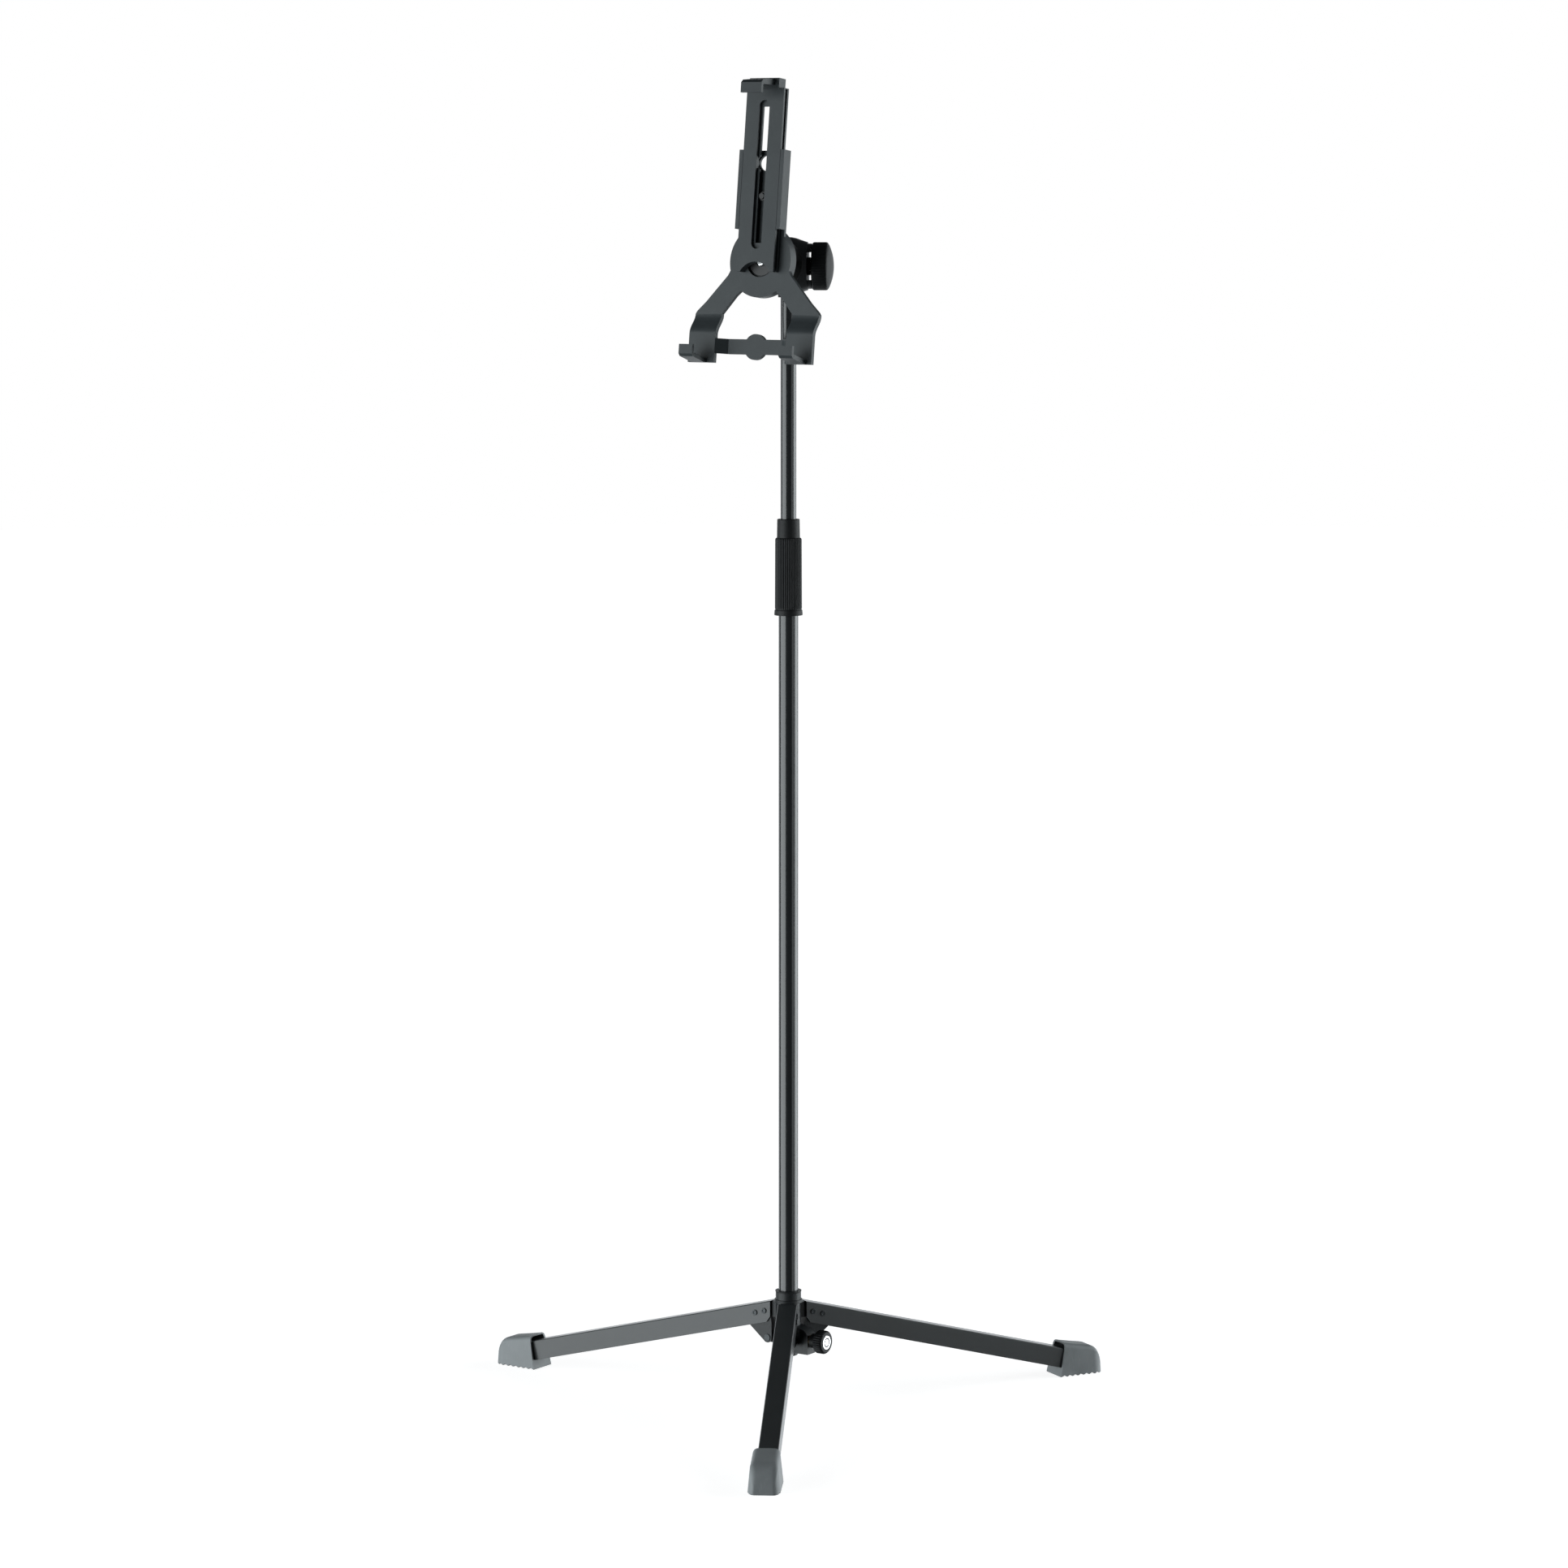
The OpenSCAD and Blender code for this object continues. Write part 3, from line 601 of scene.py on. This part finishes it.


def make_clutch():
    """Sleeve with fine ribs between a flared lip and a smooth collar."""
    low, high, r = span("clutch_sleeve", Vector(), UP)
    top = high - low
    ribbed = r - 0.75
    rib_start = LIP_HEIGHT + 3
    rib_length = GRIP_END - LIP_HEIGHT - 6
    profile = ribless((r - 0.6, 0), (r - 0.15, 0.15), (r, 0.6), (r - 0.3, LIP_HEIGHT - 0.5))
    profile += ribless((r - 0.8, LIP_HEIGHT), (r - 1.2, LIP_HEIGHT + 0.05), (r - 1.2, LIP_HEIGHT + 0.6))
    profile += [(ribbed, LIP_HEIGHT + 1.3, 1)]
    profile += [(ribbed - 0.05 * i, rib_start + rib_length * i / 5, 1) for i in range(6)]
    profile += [(ribbed - 0.3, GRIP_END - 1.2, 1), (ribbed - 0.9, GRIP_END - 0.3, 0.3)]
    profile += ribless((ribbed - 1.5, GRIP_END), (12.0, GRIP_END))
    profile += ribless((11.7, GRIP_END + 0.3), (11.35, top - 0.8))
    profile += rounding(10.6, top - COLLAR_ROUND, COLLAR_ROUND)
    profile += ribless((9.0, top), (SLEEVE_ROD_BORE + 0.05, top - 0.5), (SLEEVE_ROD_BORE, ROD_BORE_START))
    profile += ribless((SLEEVE_TUBE_BORE, TUBE_BORE_END), (SLEEVE_TUBE_BORE, 0.4))
    place = Matrix.Translation(UP * low * MM)
    mesh = turned(profile, ribs=40, steps=8, depth=0.55, place=place, hollow=True)
    finish_piece(mesh, "clutch_grip", "grip_plastic", "clutch", "clutch_sleeve")


def make_joint_knob():
    """Large knob with a finely ribbed side and a shallow domed end."""
    origin, axis = joint("joint_knob_turn")
    low, high, r = span("joint_knob", origin, axis)
    foot = low + 1.4
    shoulder = high - 6
    dome = (r * r + DOME_RISE ** 2) / (2 * DOME_RISE)
    profile = ribless((STUD_BORE, foot + 9.5), (STUD_BORE, low + 0.2), (STUD_BORE + 0.3, low), (9.0, low))
    profile += ribless((9.5, low + 0.4), (9.5, foot - 0.4), (10.2, foot))
    profile += ribless((r - 2.2, foot), (r - 1.2, foot + 0.3))
    profile += [(r - 0.35, foot + 1.1, 0.5), (r, foot + 1.9, 1), (r, shoulder - 1.6, 1)]
    profile += [(r - 0.2, shoulder - 0.8, 0.6), (r - 0.6, shoulder - 0.1, 0)]
    for i in range(1, 12):
        x = (r - 0.9) * (1 - i / 11.5)
        profile += ribless((x, high - dome + math.sqrt(dome * dome - x * x)))
    mesh = turned(profile, ribs=56, steps=6, depth=0.35, place=on_axis(origin, axis))
    finish_piece(mesh, "joint_knob_grip", "grip_plastic", "joint_knob", "joint_knob")


def make_base_knob():
    """Small knob with coarser ribs, a chamfered end and a recess for its cap."""
    origin, axis = joint("base_knob_turn")
    low, high, r = span("base_knob", origin, axis)
    rim = low + 7
    profile = ribless((STUD_BORE, rim + 5.5), (STUD_BORE, low + 0.2), (STUD_BORE + 0.3, low), (7.0, low))
    profile += ribless((7.5, low + 0.5), (7.6, rim - 0.6), (8.4, rim), (r - 1.6, rim))
    profile += [(r - 0.7, rim + 0.4, 0.5), (r, rim + 1.4, 1), (r, high - 2.2, 1), (r - 0.5, high - 1.1, 0.7)]
    profile += ribless((r - 1.6, high - 0.2), (r - 2.4, high), (CUP_RADIUS + 0.4, high))
    profile += ribless((CUP_RADIUS, high - 0.3), (CUP_RADIUS, high - 1), (2, high - 1))
    mesh = turned(profile, ribs=28, steps=8, depth=0.75, place=on_axis(origin, axis))
    finish_piece(mesh, "base_knob_grip", "grip_plastic", "base_knob", "base_knob")


def make_base_knob_cap():
    """Bright cap in the base knob's end, with a shallow groove whose shade is painted on as a black ring."""
    origin, axis = joint("base_knob_turn")
    high = span("base_knob", origin, axis)[1]
    ring_in, ring_out = GROOVE_SHADE_RADII
    profile = ribless((2, high - 0.95), (CUP_RADIUS - 0.1, high - 0.95), (CUP_RADIUS - 0.1, high - 0.1))
    profile += ribless((CUP_RADIUS - 0.4, high + 0.15), (ring_out + 0.2, high + 0.2))
    profile += ribless((ring_out, high - 0.05), (ring_in, high - 0.05), (ring_in - 0.2, high + 0.2))
    profile += ribless((0.3, high + 0.25))
    mesh = turned(profile, ribs=12, steps=6, depth=0, place=on_axis(origin, axis))
    piece = finish_piece(mesh, "base_knob_disc", "chrome", "base_knob", "base_knob_cap")
    # The groove's floor gets the black plastic: painted shade in the groove, not a separate dark part.
    piece.data.materials.append(MATERIALS["black_plastic"])
    for face in piece.data.polygons:
        spot = face.center - origin
        reach = spot.dot(axis)
        radius = (spot - axis * reach).length / MM
        if ring_in < radius < ring_out and reach / MM > high - 0.3:
            face.material_index = 1


# ---- foot caps, in mm; r runs out from the mouth, y across and z up ----

FOOT_LENGTH = 51
FOOT_HEIGHT = 35.3                  # at the mouth
FOOT_LEAN = 7                       # how much further out the mouth's top is than its foot
FOOT_FLOOR_HALF = 16                # half width on the floor
FOOT_DRAFT = 2.6                    # how much each side leans in up to FOOT_HEIGHT
SOLE_CORNER = 0.7
NOSE_BACK = 2                       # how far the nose ends short of the CAD foot's
NOSE_LENGTH = 17
NOSE_CORNER = 11                    # the nose's corner seen from above
NOSE_HEIGHT = 3                     # where the nose's dome starts
NOSE_HALF = 9                       # half width of the nose's blunt end
RIDGE_FALL = 0.145
GROOVE_START = 4
GROOVE_STEP = 6.7
GROOVES = 7
GROOVE_HALF = 2.5
GROOVE_DEPTH = 1.9
SHELL_STEPS = 90
LIP_DEPTH = 1.6
MOUTH_DEPTH = 17                    # where the flared mouth has narrowed to the leg
LEG_SLOPE = math.tan(math.radians(14.8))
LEG_HALF = 10
LEG_TALL = 21.2                     # the leg's height where it is cut upright
LEG_CORNER = 1.6


def leg_direction(leg):
    """Unit vector from the tube out along a leg, from its foot's place in the frame."""
    low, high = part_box("foot_" + leg)
    middle = (low + high) / 2
    return Vector((middle.x, middle.y, 0)).normalized()


def foot_top(r):
    """Height of the foot's ridge, which falls gently and then rounds down to the nose."""
    ridge = FOOT_HEIGHT - RIDGE_FALL * r
    bend = max(0, 1 - (FOOT_LENGTH - r) / NOSE_LENGTH)
    return NOSE_HEIGHT + (ridge - NOSE_HEIGHT) * (1 - bend ** 2.6) ** 0.37


def foot_half(r):
    """Half width of the foot on the floor, round at the nose."""
    bend = max(0, 1 - (FOOT_LENGTH - r) / NOSE_CORNER)
    return NOSE_HALF + (FOOT_FLOOR_HALF - NOSE_HALF) * (1 - bend ** 2) ** 0.5


def groove_lift(r):
    """How far the grooves lift the sole."""
    nearest = min(abs(r - GROOVE_START - GROOVE_STEP * n) for n in range(GROOVES))
    return GROOVE_DEPTH * max(0, 1 - (nearest / GROOVE_HALF) ** 2)


def lean(z):
    """How far out the leaning mouth is at a height."""
    return FOOT_LEAN * z / FOOT_HEIGHT


def loop_section(half_low, half_high, low, high, corner, foot_corner):
    """Closed outline in y and z: flat bottom, drafted sides and rounded shoulders."""
    half_sole = half_low - foot_corner
    half_crown = half_high - corner
    side_foot = low + foot_corner
    shoulder = high - corner
    bottom = [((-1 + 2 * i / 8) * half_sole, low) for i in range(9)]
    right = [(half_low, side_foot)]
    for i in range(1, 7):
        y = half_low + (half_high - half_low) * i / 7
        right.append((y, side_foot + (shoulder - side_foot) * i / 7))
    for i in range(8):
        a = math.radians(90 * i / 7)
        right.append((half_crown + corner * math.cos(a), shoulder + corner * math.sin(a)))
    crown = [(half_crown * (1 - 2 * i / 8), high) for i in range(1, 8)]
    left = [(-y, z) for y, z in reversed(right)]
    return bottom + right + crown + left


def shell_rings():
    """Domed outside with the grooved sole, from the nose to the mouth."""
    rings = []
    for i in range(SHELL_STEPS + 1):
        r = FOOT_LENGTH * (1 - (i / SHELL_STEPS) ** 1.6)
        top = foot_top(r)
        half = foot_half(r)
        draft = min(FOOT_DRAFT * top / FOOT_HEIGHT, 0.3 * half)
        corner = min(5.5, 0.28 * top, 0.5 * half)
        section = loop_section(half, half - draft, 0, top, corner, SOLE_CORNER)
        raised = [(y, max(z, groove_lift(r))) for y, z in section]
        share = (1 - r / FOOT_LENGTH) ** 2
        rings.append([(r + lean(z) * share, y, z) for y, z in raised])
    return rings


def lip_rings(underside):
    """Rim of the mouth, from the shell's outline in to the pocket, whose floor is at underside."""
    rings = []
    inner = loop_section(12.4, 12.2, underside, underside + LEG_TALL + 2.6, 2.2, 0.5)
    for inset, depth in ((1.4, 0.0), (2.6, 0.5), (3.2, LIP_DEPTH)):
        half = FOOT_FLOOR_HALF - inset
        outer = loop_section(half, half - FOOT_DRAFT, 0.4 + inset, FOOT_HEIGHT - 0.6 * inset, 5, SOLE_CORNER)
        share = depth / LIP_DEPTH
        ring = []
        for (y_out, z_out), (y_in, z_in) in zip(outer, inner):
            y = y_out * (1 - share) + y_in * share
            z = z_out * (1 - share) + z_in * share
            ring.append((0.25 * depth + lean(z), y, z))
        rings.append(ring)
    return rings


def pocket_ring(r, underside, side_play, top_play):
    """Outline of the pocket round the leg."""
    half = LEG_HALF + side_play
    section = loop_section(half, half, underside, underside + LEG_TALL + 0.3 + top_play, LEG_CORNER, 0.5)
    return [(r + lean(z), y, z) for y, z in section]


def foot_piece(leg):
    """Foot cap: domed shell with a leaning mouth, a pocket for the leg and a grooved sole."""
    out = leg_direction(leg)
    across = UP.cross(out)
    tip = max(v.co.dot(out) for v in nodes["foot_" + leg].data.vertices) / MM
    mouth = tip - FOOT_LENGTH - NOSE_BACK
    leg_end = max(v.co.dot(out) for v in nodes["leg_" + leg].data.vertices) / MM - mouth
    leg_floor = min(v.co.z for v in nodes["leg_" + leg].data.vertices) / MM

    def underside(r):
        """Height of the pocket's floor, just under the sloping leg."""
        return leg_floor + (leg_end - r) * LEG_SLOPE - 0.3

    rings = shell_rings() + lip_rings(underside(0))
    for r, side_play, top_play in (
        (MOUTH_DEPTH / 2, 2.2, 2.2),
        (MOUTH_DEPTH, 0.3, 0.3),
        (leg_end + 0.3, 0.2, 0.2),
    ):
        rings.append(pocket_ring(r, underside(r), side_play, top_play))
    placed = [[(out * (mouth + r) + across * y + UP * z) * MM for r, y, z in ring] for ring in rings]
    finish_piece(skin(placed), "foot_cap_" + leg, "foot_rubber", "leg_" + leg, "foot_" + leg)


# ---- build ----

make_camera()
make_world()
make_lights()
make_floor()
dress_frame()
make_clutch()
make_joint_knob()
make_base_knob()
make_base_knob_cap()
for leg_name in "abc":
    foot_piece(leg_name)
